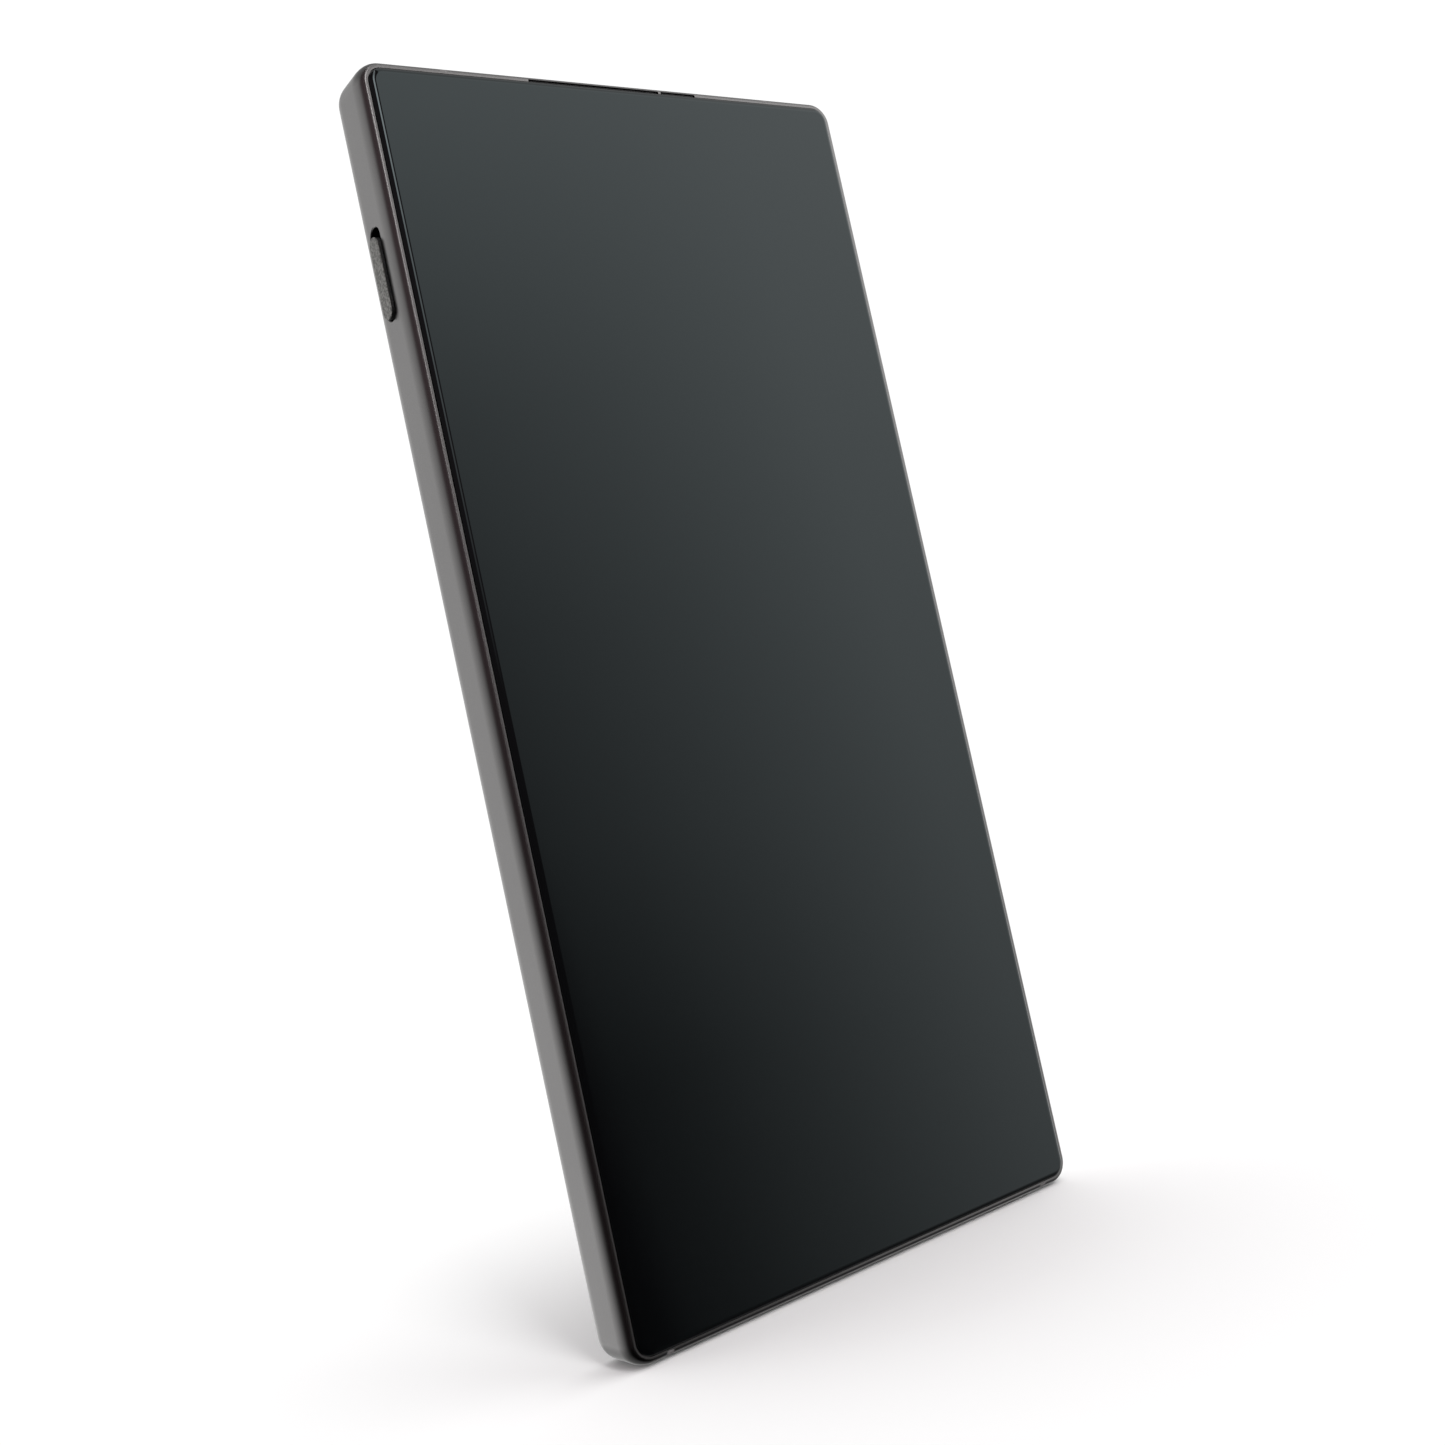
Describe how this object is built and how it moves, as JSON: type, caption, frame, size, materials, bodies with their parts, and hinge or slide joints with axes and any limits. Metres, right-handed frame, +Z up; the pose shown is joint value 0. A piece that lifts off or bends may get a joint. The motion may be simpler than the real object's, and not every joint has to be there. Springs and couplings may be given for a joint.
{
  "type": "smartphone",
  "caption": "Slab smartphone with a flat metal side frame, edge-to-edge flat screen, side slide switch, keys, card tray and a raised rear camera deck.",
  "frame": {"origin": "middle of the bottom edge, halfway through the overall depth from the screen glass to the lens rings, at the height of the surface that the bottom edge stands on", "axes": "+Z up the length of the phone to its top edge, +X across the screen to the viewer's right, +Y through the phone from the screen to the back; the screen faces -Y and the slide switch is on the -X side near the top"},
  "size_m": [0.0774, 0.0118, 0.164],
  "materials": {
    "anodised_frame": "fine bead-blasted and anodised dark grey",
    "machined_alloy": "as cast and machined",
    "lens_ring": "turned and anodised",
    "stainless": "rolled",
    "copper": "rolled copper",
    "screen_glass": "polished",
    "back_glass": "frosted",
    "lens_glass": "coated and polished",
    "flash_lens": "clear, with fine rings",
    "black_plastic": "moulded",
    "switch_cap": "grained and anodised",
    "circuit_board": "solder mask",
    "flex_film": "polyimide film",
    "pouch_foil": "laminated foil",
    "adhesive": "foam tape",
    "woven_mesh": "fine woven, blackened",
    "antenna_plastic": "moulded grey plastic, bead-blasted with the frame"
  },
  "bodies": {
    "phone_body": {"side_frame": "anodised_frame", "mid_plate": "machined_alloy", "antenna_insert_top_left": "antenna_plastic", "antenna_insert_top_right": "antenna_plastic", "antenna_insert_bottom_left": "antenna_plastic", "antenna_insert_bottom_right": "antenna_plastic", "cover_glass": "screen_glass", "display_panel": "pouch_foil", "display_adhesive": "adhesive", "front_camera": "black_plastic", "earpiece_mesh": "woven_mesh", "sensor_light_guide": "black_plastic", "earpiece_speaker": "black_plastic", "fingerprint_sensor": "circuit_board", "vapour_chamber": "copper", "back_cover": "back_glass", "camera_deck": "anodised_frame", "lens_ring_main": "lens_ring", "lens_ring_wide": "lens_ring", "lens_ring_tele": "lens_ring", "lens_glass_main": "lens_glass", "lens_glass_wide": "lens_glass", "lens_glass_tele": "lens_glass", "camera_module_main": "black_plastic", "camera_module_wide": "black_plastic", "camera_module_tele": "black_plastic", "flash_lens": "flash_lens", "slide_switch_body": "stainless", "side_key_flex": "flex_film", "key_dome_power": "stainless", "key_dome_volume_down": "stainless", "key_dome_volume_up": "stainless", "sim_reader": "stainless", "usb_shell": "stainless", "usb_tongue": "black_plastic", "loudspeaker": "black_plastic", "loudspeaker_mesh": "woven_mesh", "bottom_microphone": "stainless", "top_microphone": "stainless", "main_board": "circuit_board", "shield_can_front": "stainless", "shield_can_rear": "stainless", "battery_connector": "black_plastic", "battery": "pouch_foil", "sub_board": "circuit_board", "interconnect_flex": "flex_film", "vibration_motor": "stainless", "top_bracket": "black_plastic", "bottom_bracket": "black_plastic", "bracket_screw_1": "stainless", "bracket_screw_2": "stainless", "bracket_screw_3": "stainless", "bracket_screw_4": "stainless"},
    "slide_switch": {"slide_switch_cap": "switch_cap"},
    "power_key": {"power_key": "anodised_frame"},
    "volume_rocker": {"volume_rocker": "anodised_frame"},
    "sim_tray": {"sim_tray": "anodised_frame"},
    "focus_main": {"lens_barrel_main": "black_plastic"},
    "focus_wide": {"lens_barrel_wide": "black_plastic"},
    "focus_tele": {"lens_barrel_tele": "black_plastic"}
  },
  "joints": [
    {"name": "slide_switch_travel", "type": "slide", "parent": "phone_body", "child": "slide_switch", "axis": [0, 0, 1], "range_m": [0, 0.0012]},
    {"name": "power_key_press", "type": "slide", "parent": "phone_body", "child": "power_key", "axis": [-1, 0, 0], "range_m": [0, 0.0003], "stiffness_N_per_m": 800},
    {"name": "volume_rocker_tilt", "type": "hinge", "parent": "phone_body", "child": "volume_rocker", "pos_m": [0.0369, -0.0009, 0.126], "axis": [0, 1, 0], "range_deg": [-1.6, 1.6], "stiffness_Nm_per_rad": 0.3},
    {"name": "sim_tray_slide", "type": "slide", "parent": "phone_body", "child": "sim_tray", "axis": [0, 0, -1], "range_m": [0, 0.024]},
    {"name": "focus_main_travel", "type": "slide", "parent": "phone_body", "child": "focus_main", "axis": [0, 1, 0], "range_m": [-0.0001, 0.0003], "stiffness_N_per_m": 150},
    {"name": "focus_wide_travel", "type": "slide", "parent": "phone_body", "child": "focus_wide", "axis": [0, 1, 0], "range_m": [-0.0001, 0.0003], "stiffness_N_per_m": 100},
    {"name": "focus_tele_travel", "type": "slide", "parent": "phone_body", "child": "focus_tele", "axis": [0, 1, 0], "range_m": [-0.0001, 0.0003], "stiffness_N_per_m": 100}
  ]
}
